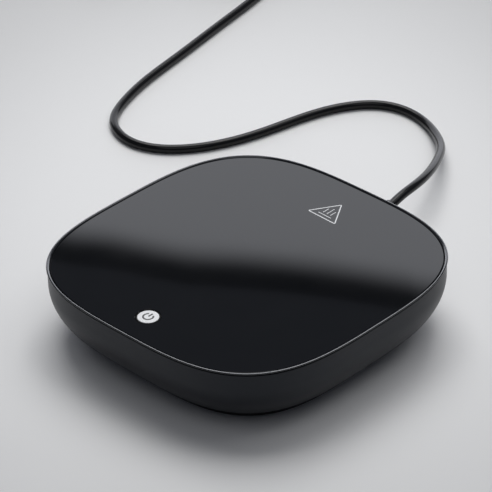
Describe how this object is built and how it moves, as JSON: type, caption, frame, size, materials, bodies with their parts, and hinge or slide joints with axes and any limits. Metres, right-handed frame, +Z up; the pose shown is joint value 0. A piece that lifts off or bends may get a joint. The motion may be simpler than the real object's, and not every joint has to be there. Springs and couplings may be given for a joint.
{
  "type": "electric mug warmer",
  "caption": "Low square mug warmer with softly rounded corners, a black glass plate that heats the mug, a flush round push button at the front edge and a thin cord with a plug at the back.",
  "frame": {"origin": "on the table, under the middle of the body, at the bottom of the feet", "axes": "+Z up out of the glass; -Y towards the side with the button; +Y towards the side where the cord leaves; +X to the right as one faces the button"},
  "size_m": [0.2968, 0.2829, 0.027],
  "materials": {
    "housing": "satin black moulded plastic",
    "glass": "polished black glass, opaque",
    "seal": "dark adhesive foam",
    "foot_rubber": "matt black rubber",
    "steel": "plated steel",
    "conductive_pad": "soft light grey pad",
    "aluminium": "plain aluminium",
    "film": "amber film",
    "copper": "bare copper",
    "insulation": "pressed white fibre",
    "cutoff_can": "drawn aluminium can",
    "sensor_bead": "brown resin bead",
    "board": "green lacquered board",
    "chips": "black moulded packages",
    "capacitor": "dark blue sleeve",
    "connectors": "white moulded headers",
    "lamps": "milky lamps",
    "switch_case": "black moulded case",
    "plunger": "black moulded plunger",
    "sleeve": "matt black ring",
    "button": "milky white cap",
    "cord_jacket": "smooth glossy black jacket",
    "supply_leads": "coloured lead insulation",
    "heater_leads": "white lead insulation",
    "sensor_leads": "yellow lead insulation",
    "tie": "dark woven strap",
    "plug_grip": "matt black moulding",
    "plug_steel": "bright plated steel",
    "plug_tongue": "white moulding",
    "contacts": "gold-plated strips"
  },
  "bodies": {
    "body": {"upper_housing": "housing", "glass_plate": "glass", "glass_seal": "seal", "base_cover": "housing", "foot_front_left": "foot_rubber", "foot_front_right": "foot_rubber", "foot_back_left": "foot_rubber", "foot_back_right": "foot_rubber", "housing_screws": "steel", "heat_pad": "conductive_pad", "heat_spreader": "aluminium", "heating_film": "film", "heating_track": "copper", "insulation_pad": "insulation", "heater_tray": "steel", "tray_screws": "steel", "thermal_cutoff": "cutoff_can", "temperature_sensor": "sensor_bead", "sensor_clip": "steel", "control_board": "board", "board_screws": "steel", "board_chips": "chips", "board_capacitor": "capacitor", "board_connectors": "connectors", "button_lamps": "lamps", "switch_case": "switch_case", "button_sleeve": "sleeve", "strain_relief": "cord_jacket", "supply_leads": "supply_leads", "heater_leads": "heater_leads", "sensor_leads": "sensor_leads", "cord": "cord_jacket", "cord_coil": "cord_jacket", "cord_end": "cord_jacket", "coil_tie": "tie", "plug_grip": "plug_grip", "plug_shell": "plug_steel", "plug_tongue": "plug_tongue", "plug_contacts": "contacts"},
    "button": {"power_button": "button", "switch_plunger": "plunger"}
  },
  "joints": [
    {"name": "button_press", "type": "slide", "parent": "body", "child": "button", "axis": [0, 0, -1], "range_m": [0, 0.0006], "stiffness_N_per_m": 1500, "springref_m": -0.0003}
  ]
}
